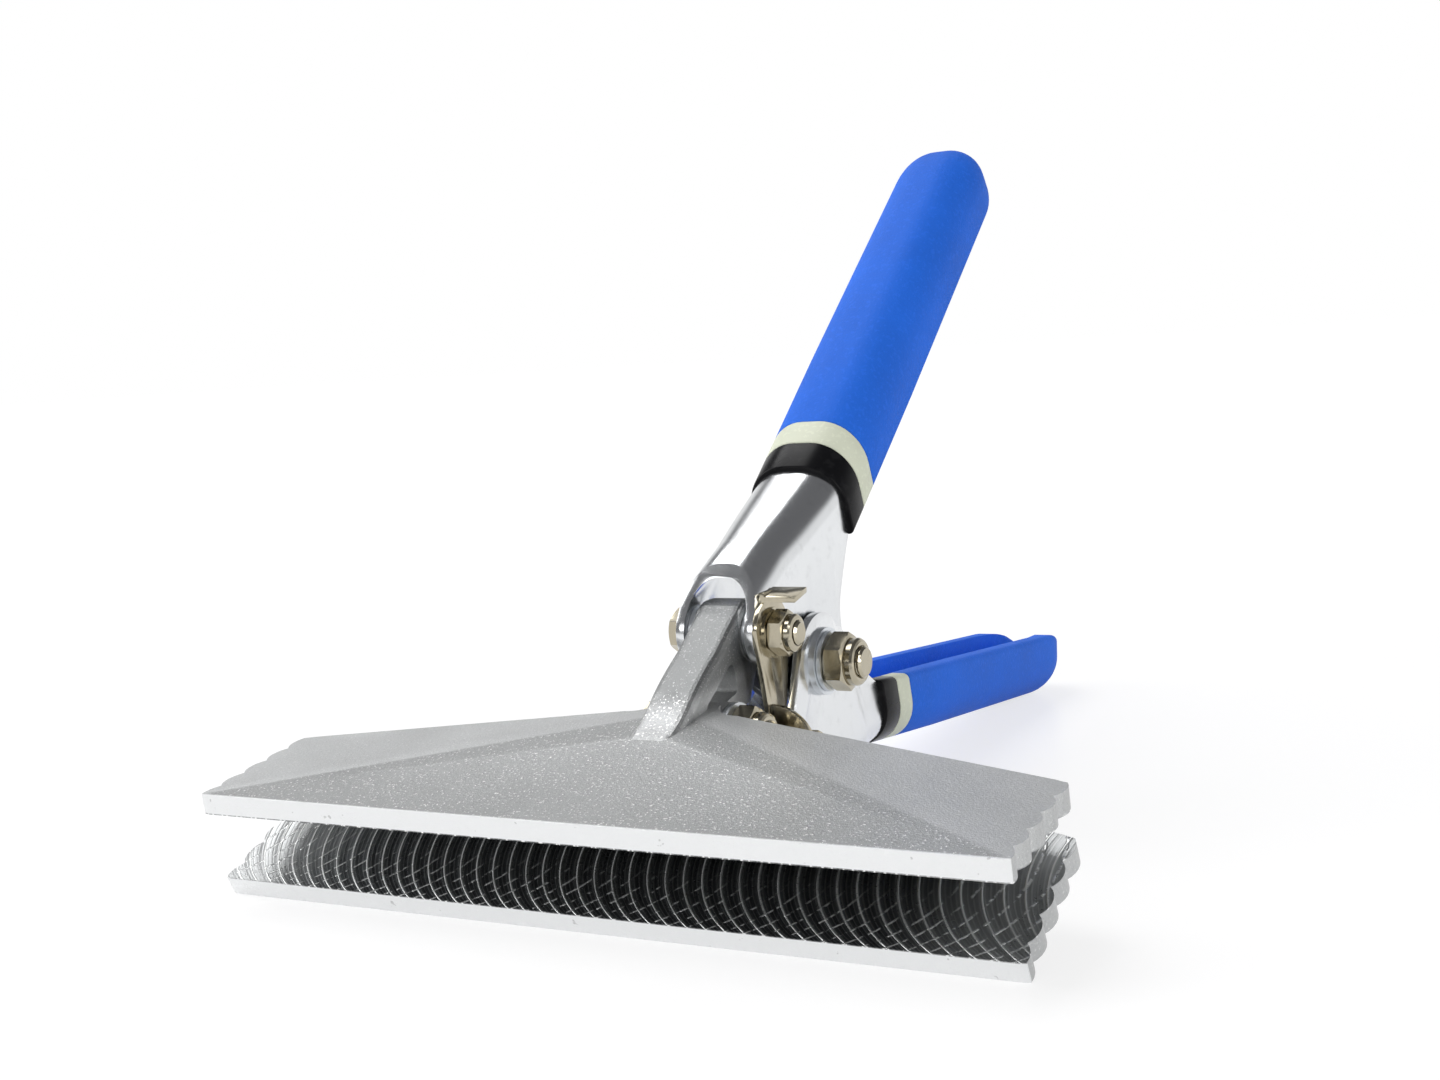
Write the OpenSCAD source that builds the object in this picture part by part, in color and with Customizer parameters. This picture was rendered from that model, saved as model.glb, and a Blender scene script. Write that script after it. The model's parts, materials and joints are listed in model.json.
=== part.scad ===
// Wide sheet metal hand seamer: two cast jaws with lapped pivot lugs, worked by
// two crossed channel handles through two link bolts (compound leverage).
// Working frame: jaw pivot at the origin, X across the jaws, Y back to the grips,
// Z up from the mid-plane between the jaws. lay() then rests the tool on the floor.

/* [Jaws] */
// width of both jaw plates
jaw_width = 200; // [100:1:300]
// front edge to jaw pivot
jaw_reach = 64; // [50:0.5:90]
// plate thickness at its edges
plate_edge = 5; // [3:0.1:8]
// pitch of the scallops along each plate end
scallop_pitch = 8; // [5:0.1:12]
// depth of the sharp notches between scallops
scallop_depth = 1.6; // [0.5:0.1:3]
// length of the first, shorter scallop behind the front edge
scallop_first = 5.5; // [2:0.1:8]
// rise of the plate's middle ridge at the neck
plate_rise = 4; // [0:0.1:8]
// angle between the jaws at rest
jaw_opening = 15.5; // [5:0.1:25]
// width of the neck
neck_width = 12.5; // [8:0.1:20]
// radius of the pivot lugs
lug_radius = 8; // [6:0.1:12]
// outer face of each pivot lug from the middle
lug_side = 8; // [5:0.1:12]
// radius of the tail boss round the link bolt
boss_radius = 8.3; // [6:0.1:12]
// half width of the tail boss
boss_side = 6.5; // [4:0.1:10]

/* [Linkage] */
// jaw pivot to link bolt, along the closed jaw
link_y = 19.6; // [10:0.1:40]
// jaw pivot to link bolt, square to the closed jaw
link_z = 19.3; // [10:0.1:40]
// link bolt to handle pivot
link_span = 24.05; // [15:0.05:40]
// radius of the link bolts (M6)
link_bolt_r = 3; // [2:0.1:5]
// radius of the jaw pivot bolt and the handle pivot bolt (M8)
pivot_bolt_r = 4; // [3:0.1:6]
// radial clearance of the running fits
run_fit = 0.05; // [0.01:0.01:0.1]
// radial clearance of the handle pivot in the upper handle
slip_fit = 0.15; // [0.1:0.01:0.5]
// side clearance between faces that turn on each other
side_fit = 0.1; // [0.05:0.01:0.5]

/* [Handles] */
// sheet thickness of the channels
sheet = 2.2; // [1.5:0.1:4]
// outside width of the upper channel at its front
upper_width = 21; // [18:0.1:30]
// outside width of the lower channel at its ears
lower_width = 28.2; // [22:0.1:34]
// outside width of both channels inside the grips
tang_width = 25.4; // [20:0.1:30]
// bend radius of the channel backs
back_radius = 7; // [4:0.1:10]
// slope of the channel back from the mid-plane
back_slope = 9.3; // [0:0.1:20]
// slope of the grips from the mid-plane
grip_slope = 21.3; // [5:0.1:35]
// radius of the ear round the link bolt
ear_radius = 7; // [5:0.1:12]
// radius of the ear round the handle pivot
heel_radius = 12.2; // [8:0.1:16]

/* [Grips] */
// width of the grips
grip_width = 29; // [24:0.1:36]
// depth of the grips at the collar
grip_depth = 19.4; // [14:0.1:26]
// length of the whole grip from its collar
grip_length = 158; // [100:1:180]
// length of the rounded end of the grips
tip_round = 18; // [10:0.5:30]
// length of the black collar
collar_length = 9; // [5:0.1:15]
// length of the cream band
band_length = 8; // [3:0.1:15]
// width of the finger side opening along the grip
grip_gap = 18; // [10:0.1:22]

/* [Hidden] */
$fn = 64;
half_open = jaw_opening / 2;
plate_depth = scallop_first + 4 * scallop_pitch;
link_r = norm([link_y, link_z]);
link_a = atan2(link_z, link_y) - half_open;
link_open = [link_r * cos(link_a), link_r * sin(link_a)];
pivot_y = link_open[0] + sqrt(link_span * link_span - link_open[1] * link_open[1]);
pivot = [pivot_y, 0];
collar_at = [69.5, 21.1];
tang_top = 17.4;
tang_edge = 2;
tang_end = grip_length - 32;
flare_start = link_y + 18.4;
shoulder = collar_at[0] - 3;
front_jaw = [-jaw_reach * cos(half_open) + plate_edge * sin(half_open),
    -jaw_reach * sin(half_open) - plate_edge * cos(half_open)];
rest_at = grip_at(grip_length - tip_round, grip_depth + 0.8);
rest_grip = [rest_at[0], -rest_at[1]];
tilt = -atan2(rest_grip[1] - front_jaw[1], rest_grip[0] - front_jaw[0]);
lift = -(front_jaw[0] * sin(tilt) + front_jaw[1] * cos(tilt));
shift_y = -82.52;
casting = [0.72, 0.73, 0.74];
chrome = [0.80, 0.81, 0.83];
nickel = [0.78, 0.75, 0.68];
zinc = [0.70, 0.72, 0.74];
black = [0.05, 0.05, 0.06];
cream = [0.84, 0.86, 0.76];
blue = [0.10, 0.30, 0.80];

// ---- helpers ----
function grip_at(s, h) = [collar_at[0] + s * cos(grip_slope) - h * sin(grip_slope),
    collar_at[1] + s * sin(grip_slope) + h * cos(grip_slope)];

module lay() {
    translate([0, shift_y, lift]) rotate([tilt, 0, 0]) children();
}

// a flat outline (back, up) given a width across the tool
module across(x0, x1) {
    rotate([90, 0, 90]) translate([0, 0, x0]) linear_extrude(x1 - x0) children();
}

module disc_at(p, r) {
    translate(p) circle(r);
}

// two discs joined by their outer tangents
module link_plate(p, rp, q, rq) {
    d = q - p;
    a = atan2(d[1], d[0]);
    b = acos((rp - rq) / norm(d));
    up = 0.995 * [cos(a + b), sin(a + b)];
    down = 0.995 * [cos(a - b), sin(a - b)];
    disc_at(p, rp);
    disc_at(q, rq);
    polygon([p + rp * up, q + rq * up, q + rq * down, p + rp * down]);
}

module rod(p, r, x0, x1) {
    across(x0, x1) disc_at(p, r);
}

module ring_at(p, ro, ri, x0, x1) {
    across(x0, x1) difference() {
        disc_at(p, ro);
        disc_at(p, ri);
    }
}

module hexagon(p, flats) {
    translate(p) rotate(12) circle(flats / sqrt(3), $fn = 6);
}

// ---- jaws ----
module plate_outline() {
    r = (pow(scallop_pitch / 2, 2) + pow(scallop_depth, 2)) / (2 * scallop_depth);
    side = jaw_width / 2 - scallop_depth;
    rear = plate_depth - jaw_reach;
    difference() {
        union() {
            polygon([[-side, -jaw_reach], [side, -jaw_reach], [side, rear - 2.2],
                [side - 2, rear - 0.2], [15, -8.9], [-15, -8.9],
                [2 - side, rear - 0.2], [-side, rear - 2.2]]);
            intersection() {
                for (m = [-1, 1]) for (k = [0:4])
                    translate([m * (jaw_width / 2 - r),
                        scallop_first - jaw_reach + (k - 0.5) * scallop_pitch]) circle(r);
                translate([-jaw_width / 2, -jaw_reach]) square([jaw_width, plate_depth - 0.6]);
            }
            translate([-neck_width / 2 - 8, -12]) square([neck_width + 16, 4]);
        }
        for (m = [-1, 1]) translate([m * (neck_width / 2 + 8), -2.6]) circle(6.4);
    }
}

module plate() {
    rise = atan2(plate_rise, jaw_reach - 14);
    fall = atan2(plate_rise, jaw_width / 2 - 8);
    difference() {
        translate([0, 0, 0.05]) linear_extrude(plate_edge + plate_rise + 1) plate_outline();
        translate([-jaw_width, -jaw_reach, plate_edge]) rotate([rise, 0, 0])
            cube([2 * jaw_width, 2 * jaw_reach, 20]);
        for (m = [0, 1]) mirror([m, 0, 0])
            translate([jaw_width / 2, -jaw_reach - 1, plate_edge]) rotate([0, fall, 0])
                translate([-jaw_width, 0, 0]) cube([1.2 * jaw_width, 2 * jaw_reach, 20]);
    }
}

module neck_outline() {
    link = [link_y, link_z];
    difference() {
        union() {
            polygon([[link_y - 3.3, link_z + 7.6], [2.8, 20.0], [-7, 16], [-12, 13.4], [-16.5, 10.8],
                [-21.5, 9.2], [-28, 7.6], [-28, 0.4], [-8.5, 0.4], [0, 0], [10, 1.5],
                [14.5, 9], link]);
            link_plate([8.8, 4.8], 3.2, [17, 13.4], 5);
            disc_at(link, boss_radius);
        }
        link_plate([-5.6, 8.6], 1.5, [6.4, 13.4], 1.9);
        link_plate([6.4, 13.4], 1.9, [7.2, 9.4], 1.6);
        link_plate([7.2, 9.4], 1.6, [-5.6, 8.6], 1.5);
        polygon([[-5.6, 8.6], [6.4, 13.4], [7.2, 9.4]]);
    }
}

module jaw() {
    color(casting) difference() {
        union() {
            difference() {
                union() {
                    plate();
                    across(-neck_width / 2, neck_width / 2) neck_outline();
                }
                rod([0, 0], lug_radius + 0.4, -jaw_width, side_fit / 2);
                translate([-20, -8.6, -20]) cube([20 + side_fit / 2, 40, 20.5]);
            }
            rod([0, 0], lug_radius, side_fit / 2, lug_side);
            rod([link_y, link_z], boss_radius - 0.6, -boss_side, boss_side);
        }
        rod([0, 0], pivot_bolt_r + run_fit, -20, 20);
        rod([link_y, link_z], link_bolt_r + run_fit, -20, 20);
    }
}

module upper_jaw() {
    lay() rotate([-half_open, 0, 0]) jaw();
}

module lower_jaw() {
    lay() rotate([half_open, 0, 0]) rotate([0, 180, 0]) jaw();
}

// ---- handles ----
module channel_section(w, r) {
    for (m = [-1, 1]) translate([m * (w / 2 - r), -r]) circle(r);
    translate([r - w / 2, -r]) square([w - 2 * r, r]);
    translate([-w / 2, -70]) square([w, 70 - r]);
}

// a length of channel running back from a point on its outer back
module channel_run(p, slope, len, w, r) {
    translate([0, p[0], p[1]]) rotate([slope, 0, 0]) rotate([90, 0, 0])
        translate([0, 0, -len]) linear_extrude(len) channel_section(w, r);
}

// channel that widens from its front width along two straight, slightly turned sides
module flare_run(p, slope, len, w, r, turn) {
    for (m = [0, 1]) mirror([m, 0, 0]) translate([0, p[0], p[1]]) rotate([slope, 0, 0])
        translate([w / 2, 0, 0]) rotate([0, 0, -turn]) translate([0.2 - w / 2, len, 0])
            rotate([90, 0, 0]) linear_extrude(len) channel_section(w - 0.4, r);
}

module channel_form(w0, flare_y, off) {
    front = [10, 32.6 - 15 * tan(back_slope) - off];
    flare = [flare_y, 32.65 + (flare_y - 25) * tan(back_slope) - off];
    reach = (shoulder - flare_y) / cos(back_slope);
    r = back_radius - off;
    channel_run(front, back_slope, (flare_y - 8) / cos(back_slope), w0 - 2 * off, r);
    if (w0 < tang_width)
        flare_run(flare, back_slope, reach, w0 - 2 * off + 0.1, r + 0.05,
            atan2(tang_width - w0 - 0.1, 2 * reach));
    channel_run(grip_at(-3.8, tang_top - off), grip_slope, tang_end + 4 + off,
        tang_width - 2 * off, r + 1.5);
}

module handle_outline() {
    run = pivot - link_open;
    turn = atan2(run[1], run[0]) - acos((ear_radius + 1.3 - heel_radius) / link_span);
    front = [cos(turn), sin(turn)];
    disc_at(link_open, ear_radius + 1.3);
    disc_at(pivot, heel_radius);
    disc_at([49, 3], 7.4);
    polygon([[24.8, 31], link_open + [-5.5, 5.6], link_open + 0.999 * (ear_radius + 1.3) * front,
        pivot + 0.999 * heel_radius * front, pivot + [2, -9], [56.35, 2.5], [57.6, 7.2],
        [62, 12.9], [69.2, 21.9], grip_at(0, tang_edge), grip_at(tang_end, tang_edge),
        grip_at(tang_end, 40), [24.8, 60]]);
}

module handle(w0, flare_y, pivot_gap) {
    color(chrome) difference() {
        intersection() {
            across(-20, 20) handle_outline();
            difference() {
                channel_form(w0, flare_y, 0);
                channel_form(w0, flare_y, sheet);
            }
        }
        rod(pivot, pivot_bolt_r + pivot_gap, -30, 30);
        rod(link_open, link_bolt_r + run_fit, -30, 30);
    }
}

module upper_handle() {
    lay() handle(upper_width, flare_start, slip_fit);
}

module lower_handle() {
    lay() mirror([0, 0, 1]) handle(lower_width, shoulder - 2, run_fit);
}

// ---- grips ----
module grip_section(w, d) {
    r = min(w / 2 - 0.5, d - 2);
    intersection() {
        translate([-w / 2, 0]) square([w, d]);
        union() {
            for (m = [-1, 1]) {
                translate([m * (w / 2 - r * 0.86), d - r * 0.86]) circle(r * 0.86);
                translate([m * (w / 2 - 1.5), 1.5]) circle(1.5);
            }
            translate([-w / 2, 1.5]) square([w, d - r * 0.86 - 1.5]);
            translate([1.5 - w / 2, 0]) square([w - 3, 3]);
            translate([r * 0.86 - w / 2, 3]) square([w - r * 1.72, d - 3]);
        }
    }
}

module grip_slice(s, h0, w, d) {
    p = grip_at(s, h0);
    translate([0, p[0], p[1]]) rotate([grip_slope, 0, 0]) rotate([90, 0, 0])
        linear_extrude(0.05) grip_section(w, d);
}

module grip_body() {
    difference() {
        hull() {
            grip_slice(-9, 0, grip_width - 0.6, grip_depth - 0.4);
            grip_slice(55, -0.3, grip_width, grip_depth + 0.6);
            for (a = [0, 21, 40, 58, 75])
                grip_slice(grip_length - tip_round * (1 - sin(a)), 9 - 9.2 * cos(a),
                    (grip_width - 0.8) * cos(a), (grip_depth + 1) * cos(a));
        }
        channel_run(grip_at(-14, tang_top - sheet - 1.8), grip_slope, grip_length + 5, grip_gap, 7);
    }
}

// one length of the grip, cut square to the channel's front
module grip_length_cut(y0, y1) {
    translate([0, collar_at[0] + 0.5, collar_at[1]]) rotate([4, 0, 0])
        translate([-20, y0, -40]) cube([40, y1 - y0, 120]);
}

module grip_piece(y0, y1, tint) {
    color(tint) difference() {
        intersection() {
            grip_body();
            grip_length_cut(y0, y1);
        }
        intersection() {
            across(-20, 20) handle_outline();
            difference() {
                channel_run(grip_at(-2, tang_top), grip_slope, tang_end + 2.2, tang_width, back_radius + 1.5);
                channel_run(grip_at(-3, tang_top - sheet), grip_slope, tang_end + 4 + sheet,
                    tang_width - 2 * sheet, back_radius + 1.5 - sheet);
            }
        }
    }
}

module upper_grip_collar() {
    lay() grip_piece(0, collar_length, black);
}

module upper_grip_band() {
    lay() grip_piece(collar_length, collar_length + band_length, cream);
}

module upper_grip_sleeve() {
    lay() grip_piece(collar_length + band_length, grip_length + 30, blue);
}

module lower_grip_collar() {
    lay() mirror([0, 0, 1]) grip_piece(0, collar_length, black);
}

module lower_grip_band() {
    lay() mirror([0, 0, 1]) grip_piece(collar_length, collar_length + band_length, cream);
}

module lower_grip_sleeve() {
    lay() mirror([0, 0, 1]) grip_piece(collar_length + band_length, grip_length + 30, blue);
}

// ---- bolts and nuts ----
upper_ear = upper_width / 2;
lower_ear = lower_width / 2;
latch_sheet = 1.2;
latch_out = upper_ear + side_fit + latch_sheet;
link_nut_seat = latch_out + 0.8;
lower_nut_seat = lower_ear + side_fit;
pivot_nut_seat = lower_ear + side_fit + 2.8;
jaw_nut_seat = lug_side + side_fit + 1.6;
lower_link = [link_open[0], -link_open[1]];

module bolt(p, r, flats, head, x0, x1) {
    color(nickel) {
        across(x0 - head, x0) intersection() {
            hexagon(p, flats);
            disc_at(p, flats / sqrt(3) - 0.2);
        }
        translate([0, p[0], p[1]]) rotate([0, 90, 0]) rotate_extrude()
            polygon([[0, x0 - 1], [r, x0 - 1], [r, x1 - 0.6], [r - 0.6, x1], [0, x1]]);
    }
}

module nut(p, r, flats, height, x0) {
    color(nickel) difference() {
        union() {
            across(x0, x0 + 0.66 * height) intersection() {
                hexagon(p, flats);
                disc_at(p, flats / sqrt(3) - 0.2);
            }
            rod(p, flats * 0.46, x0 + 0.6 * height, x0 + height);
        }
        rod(p, r + 0.02, x0 - 1, x0 + height + 1);
        rod(p, r + 1.2, x0 + 0.62 * height, x0 + height - 0.5);
    }
}

module lock_ring(p, r, height, x0) {
    color(cream) ring_at(p, r + 1.2, r + 0.02, x0 + 0.62 * height, x0 + height - 0.5);
}

module jaw_pivot_bolt() {
    lay() bolt([0, 0], pivot_bolt_r, 13, 5.3, -jaw_nut_seat, jaw_nut_seat + 9.2);
}

module jaw_pivot_washer() {
    lay() color(zinc) for (m = [0, 1]) mirror([m, 0, 0])
        ring_at([0, 0], 8, pivot_bolt_r + run_fit, lug_side + side_fit, jaw_nut_seat);
}

module jaw_pivot_nut() {
    lay() nut([0, 0], pivot_bolt_r, 13, 8, jaw_nut_seat);
}

module jaw_pivot_lock_ring() {
    lay() lock_ring([0, 0], pivot_bolt_r, 8, jaw_nut_seat);
}

module upper_link_bolt() {
    lay() bolt(link_open, link_bolt_r, 10, 4, -upper_ear - side_fit, link_nut_seat + 6.8);
}

module upper_link_washer() {
    lay() color(zinc) for (m = [0, 1]) mirror([m, 0, 0])
        ring_at(link_open, 6.4, link_bolt_r + run_fit, boss_side, upper_ear - sheet - side_fit);
}

module upper_link_nut() {
    lay() nut(link_open, link_bolt_r, 10, 6, link_nut_seat);
}

module upper_link_lock_ring() {
    lay() lock_ring(link_open, link_bolt_r, 6, link_nut_seat);
}

module latch_washer() {
    lay() color(nickel) ring_at(link_open, 6.2, link_bolt_r + run_fit, latch_out, link_nut_seat);
}

module lower_link_bolt() {
    lay() bolt(lower_link, link_bolt_r, 10, 4, -lower_nut_seat, lower_nut_seat + 6.8);
}

module lower_link_spacer() {
    lay() color(zinc) for (m = [0, 1]) mirror([m, 0, 0])
        ring_at(lower_link, 5.5, link_bolt_r + run_fit, boss_side, lower_ear - sheet - side_fit);
}

module lower_link_nut() {
    lay() nut(lower_link, link_bolt_r, 10, 6, lower_nut_seat);
}

module lower_link_lock_ring() {
    lay() lock_ring(lower_link, link_bolt_r, 6, lower_nut_seat);
}

module handle_pivot_bolt() {
    lay() bolt(pivot, pivot_bolt_r, 13, 5.3, -lower_ear - 1.6, pivot_nut_seat + 9.2);
}

module handle_pivot_washer() {
    lay() color(zinc) {
        ring_at(pivot, 8.5, pivot_bolt_r + run_fit, lower_ear, lower_ear + 1.6);
        ring_at(pivot, 7.6, pivot_bolt_r + run_fit, lower_ear + 1.7, pivot_nut_seat);
        ring_at(pivot, 8.5, pivot_bolt_r + run_fit, -lower_ear - 1.6, -lower_ear);
    }
}

module handle_pivot_nut() {
    lay() nut(pivot, pivot_bolt_r, 13, 8, pivot_nut_seat);
}

module handle_pivot_lock_ring() {
    lay() lock_ring(pivot, pivot_bolt_r, 8, pivot_nut_seat);
}

// ---- spring and latch ----
module spring_bush() {
    lay() color(zinc)
        ring_at(pivot, 6, pivot_bolt_r + run_fit, 0.2 + sheet - upper_ear, upper_ear - sheet - 0.2);
}

module opening_spring() {
    coil = 7.3;
    wire = 1;
    foot = [18, 33.6];
    reach = norm(foot);
    start = atan2(foot[1], foot[0]) + acos(coil / reach);
    lay() color(zinc) translate([0, pivot[0], 0]) {
        for (k = [-2:2]) translate([k * 2 * wire, 0, 0]) rotate([0, 90, 0]) rotate_extrude()
            translate([coil, 0]) circle(wire);
        for (m = [0, 1]) mirror([m, 0, 0]) mirror([0, 0, m])
            translate([4 * wire, coil * cos(start), coil * sin(start)])
                rotate([start - 180, 0, 0])
                    cylinder(sqrt(reach * reach - coil * coil), 0.96 * wire, 0.96 * wire);
    }
}

module latch() {
    swing = -15.5;
    tip = link_open + (2 * link_z - 8.6) * [sin(swing), -cos(swing)];
    lay() color(nickel) difference() {
        union() {
            across(upper_ear + side_fit, latch_out) link_plate(link_open, 8.6, tip, 3.1);
            translate([0, link_open[0], link_open[1]]) rotate([swing, 0, 0]) {
                translate([upper_ear + side_fit, -3.6, 5]) cube([latch_sheet, 7.2, 5.2]);
                translate([upper_ear + side_fit, -3.6, 8.6]) cube([9.4, 7.2, 1.6]);
                translate([0, -3, 0]) rotate([90, 0, 0]) linear_extrude(1.6) intersection() {
                    translate([upper_ear + side_fit, -28]) square([12.8, 11]);
                    translate([upper_ear + side_fit + 1.4, -28.2]) circle(11.3);
                }
            }
        }
        rod(link_open, link_bolt_r + run_fit, -30, 30);
    }
}

upper_jaw();
lower_jaw();
jaw_pivot_bolt();
jaw_pivot_washer();
jaw_pivot_nut();
jaw_pivot_lock_ring();
upper_link_bolt();
upper_link_washer();
upper_link_nut();
upper_link_lock_ring();
latch();
latch_washer();
lower_link_bolt();
lower_link_spacer();
lower_link_nut();
lower_link_lock_ring();
upper_handle();
lower_handle();
handle_pivot_bolt();
handle_pivot_washer();
handle_pivot_nut();
handle_pivot_lock_ring();
spring_bush();
opening_spring();
upper_grip_collar();
upper_grip_band();
upper_grip_sleeve();
lower_grip_collar();
lower_grip_band();
lower_grip_sleeve();
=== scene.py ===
import json
import math
import bpy
from mathutils import Matrix, Vector


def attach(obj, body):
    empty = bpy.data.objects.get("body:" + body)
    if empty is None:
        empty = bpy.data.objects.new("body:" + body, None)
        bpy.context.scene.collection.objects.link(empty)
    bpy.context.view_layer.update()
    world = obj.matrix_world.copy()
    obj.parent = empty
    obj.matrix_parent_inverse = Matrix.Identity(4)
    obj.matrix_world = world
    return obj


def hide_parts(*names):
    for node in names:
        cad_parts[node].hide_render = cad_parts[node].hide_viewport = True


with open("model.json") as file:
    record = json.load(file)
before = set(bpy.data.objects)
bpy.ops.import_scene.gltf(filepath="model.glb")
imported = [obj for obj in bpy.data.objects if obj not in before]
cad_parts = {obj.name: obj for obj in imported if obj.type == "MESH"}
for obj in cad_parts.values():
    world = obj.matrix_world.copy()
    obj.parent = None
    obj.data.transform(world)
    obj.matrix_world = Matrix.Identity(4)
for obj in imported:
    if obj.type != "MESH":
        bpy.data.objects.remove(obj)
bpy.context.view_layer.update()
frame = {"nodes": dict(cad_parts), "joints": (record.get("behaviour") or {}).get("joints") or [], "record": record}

# ---- where things are: millimetres, jaw pivot at the origin, tool lying level ----
hinge = {j["name"]: Vector(j["pos_m"]) for j in frame["joints"]}
mid_links = (hinge["upper_link_pivot"] + hinge["lower_link_pivot"]) / 2 - hinge["jaw_pivot"]
TILT = math.atan2(mid_links.z, mid_links.y)
STAND = (Matrix.Translation(hinge["jaw_pivot"]) @ Matrix.Rotation(TILT, 4, "X")
         @ Matrix.Scale(0.001, 4))
LEVEL = STAND.inverted()
HALF_OPEN = math.radians(7.75)
UPPER_JAW = Matrix.Rotation(-HALF_OPEN, 4, "X")
LOWER_JAW = Matrix.Rotation(HALF_OPEN, 4, "X") @ Matrix.Rotation(math.pi, 4, "Y")
MIRRORED = Matrix.Scale(-1, 4, (0, 0, 1))
LINK = (LEVEL @ hinge["upper_link_pivot"]).yz
LOWER_LINK = (LEVEL @ hinge["lower_link_pivot"]).yz
HEEL = Vector((39.539, 0.0))
COLLAR_AT = Vector((69.5, 21.1))
GRIP_SLOPE = math.radians(21.3)
BACK_SLOPE = math.radians(9.3)

# ---- sizes, millimetres ----
JAW_HALF = 100
JAW_REACH = 64
PLATE_EDGE = 5
SCALLOP_PITCH = 8
SCALLOP_DEPTH = 1.6
FIRST_SCALLOP = -62.5
NECK_HALF = 6.25
LUG_R = 8
TAIL_BOSS = (19.6, 19.3)
PIVOT_R = 4
LINK_R = 3
RUN_FIT = 0.05
SLIP_FIT = 0.15
SHEET = 2.2
UPPER_WIDTH = 21
LOWER_WIDTH = 28.2
TANG_WIDTH = 25.4
TANG_TOP = 17.4
EAR_R = 8.3
HEEL_R = 12.2
HANDLE_SPAN = 24.05
COLLAR_LENGTH = 9
BAND_END = 17
LATCH_IN = 10.6
LATCH_OUT = 11.8
THROUGH = 20


def grip_point(s, h):
    """a place s along a grip from its collar and h up from its line"""
    return COLLAR_AT + Vector((s * math.cos(GRIP_SLOPE) - h * math.sin(GRIP_SLOPE),
                               s * math.sin(GRIP_SLOPE) + h * math.cos(GRIP_SLOPE)))


# ---- bench tools ----
def hands_off():
    """leave edit mode with nothing selected"""
    if bpy.context.mode != "OBJECT":
        bpy.ops.object.mode_set(mode="OBJECT")
    bpy.ops.object.select_all(action="DESELECT")


def take(obj):
    """select one piece and nothing else"""
    hands_off()
    obj.select_set(True)
    bpy.context.view_layer.objects.active = obj
    return obj


def called(name):
    obj = bpy.context.active_object
    obj.name = name
    obj.data.name = name
    return obj


def pull(by):
    bpy.ops.mesh.extrude_region_move(TRANSFORM_OT_translate={"value": by})


def outward():
    """close the piece being edited: weld its corners and face it outwards"""
    bpy.ops.mesh.select_all(action="SELECT")
    bpy.ops.mesh.remove_doubles(threshold=0.001)
    bpy.ops.mesh.normals_make_consistent(inside=False)
    hands_off()


def outline(name, points, filled=True):
    """an outline drawn corner by corner, closed and filled or left open; left in edit mode"""
    hands_off()
    bpy.ops.mesh.primitive_plane_add(size=0.1, location=points[0])
    obj = called(name)
    bpy.ops.object.mode_set(mode="EDIT")
    bpy.ops.mesh.select_mode(type="VERT")
    bpy.ops.mesh.select_all(action="SELECT")
    bpy.ops.mesh.merge(type="CENTER")
    for a, b in zip(points, points[1:]):
        bpy.ops.mesh.extrude_vertices_move(TRANSFORM_OT_translate={"value": Vector(b) - Vector(a)})
    bpy.ops.mesh.select_all(action="SELECT")
    if filled:
        bpy.ops.mesh.edge_face_add()
    return obj


def slab(name, side, x0, x1):
    """a side outline (back, up) given a width across the tool"""
    obj = outline(name, [(x0, p[0], p[1]) for p in side])
    pull((x1 - x0, 0, 0))
    outward()
    return obj


def turned(name, profile, centre, steps=64):
    """a profile (along, radius) spun round the cross axis through centre"""
    obj = outline(name, [(a, centre[0] + r, centre[1]) for a, r in profile], filled=False)
    bpy.ops.mesh.spin(steps=steps, angle=2 * math.pi, center=(0, *centre), axis=(1, 0, 0))
    outward()
    return obj


def rod(name, centre, r, x0, x1, steps=64):
    return turned(name, [(x0, 0), (x0, r), (x1, r), (x1, 0)], centre, steps)


def with_tool(obj, tool, how):
    take(obj)
    cut = obj.modifiers.new("joint", "BOOLEAN")
    cut.operation = how
    cut.solver = "EXACT"
    cut.object = tool
    bpy.ops.object.modifier_apply(modifier=cut.name)
    bpy.data.objects.remove(tool)
    return obj


def add(obj, tool):
    return with_tool(obj, tool, "UNION")


def cut(obj, tool):
    return with_tool(obj, tool, "DIFFERENCE")


def keep(obj, tool):
    return with_tool(obj, tool, "INTERSECT")


def eased(obj, width, segments=2, angle=32):
    take(obj)
    edge = obj.modifiers.new("edges", "BEVEL")
    edge.width = width
    edge.segments = segments
    edge.limit_method = "ANGLE"
    edge.angle_limit = math.radians(angle)
    edge.use_clamp_overlap = True
    bpy.ops.object.modifier_apply(modifier=edge.name)
    return obj


def settled(obj, place=Matrix.Identity(4), smooth=30):
    """from the bench to its place in the standing tool"""
    take(obj)
    flip = place.to_3x3().determinant() < 0
    obj.matrix_world = STAND @ place @ obj.matrix_world
    bpy.ops.object.transform_apply(location=True, rotation=True, scale=True)
    if flip:
        bpy.ops.object.mode_set(mode="EDIT")
        bpy.ops.mesh.select_all(action="SELECT")
        bpy.ops.mesh.normals_make_consistent(inside=False)
        hands_off()
    take(obj)
    bpy.ops.object.shade_smooth_by_angle(angle=math.radians(smooth))
    return obj


def facets_kept(obj, least, angle=3):
    """big flat faces that meet at a slight angle keep their edge"""
    take(obj)
    faces_at = {}
    for face in obj.data.polygons:
        for key in face.edge_keys:
            faces_at.setdefault(key, []).append(face)
    for edge in obj.data.edges:
        pair = faces_at.get(edge.key, [])
        edge.select = (len(pair) == 2 and min(f.area for f in pair) > least
                       and pair[0].normal.angle(pair[1].normal, 0) > math.radians(angle))
    bpy.ops.object.mode_set(mode="EDIT")
    bpy.ops.mesh.select_mode(type="EDGE")
    bpy.ops.mesh.mark_sharp()
    hands_off()
    return obj


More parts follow.
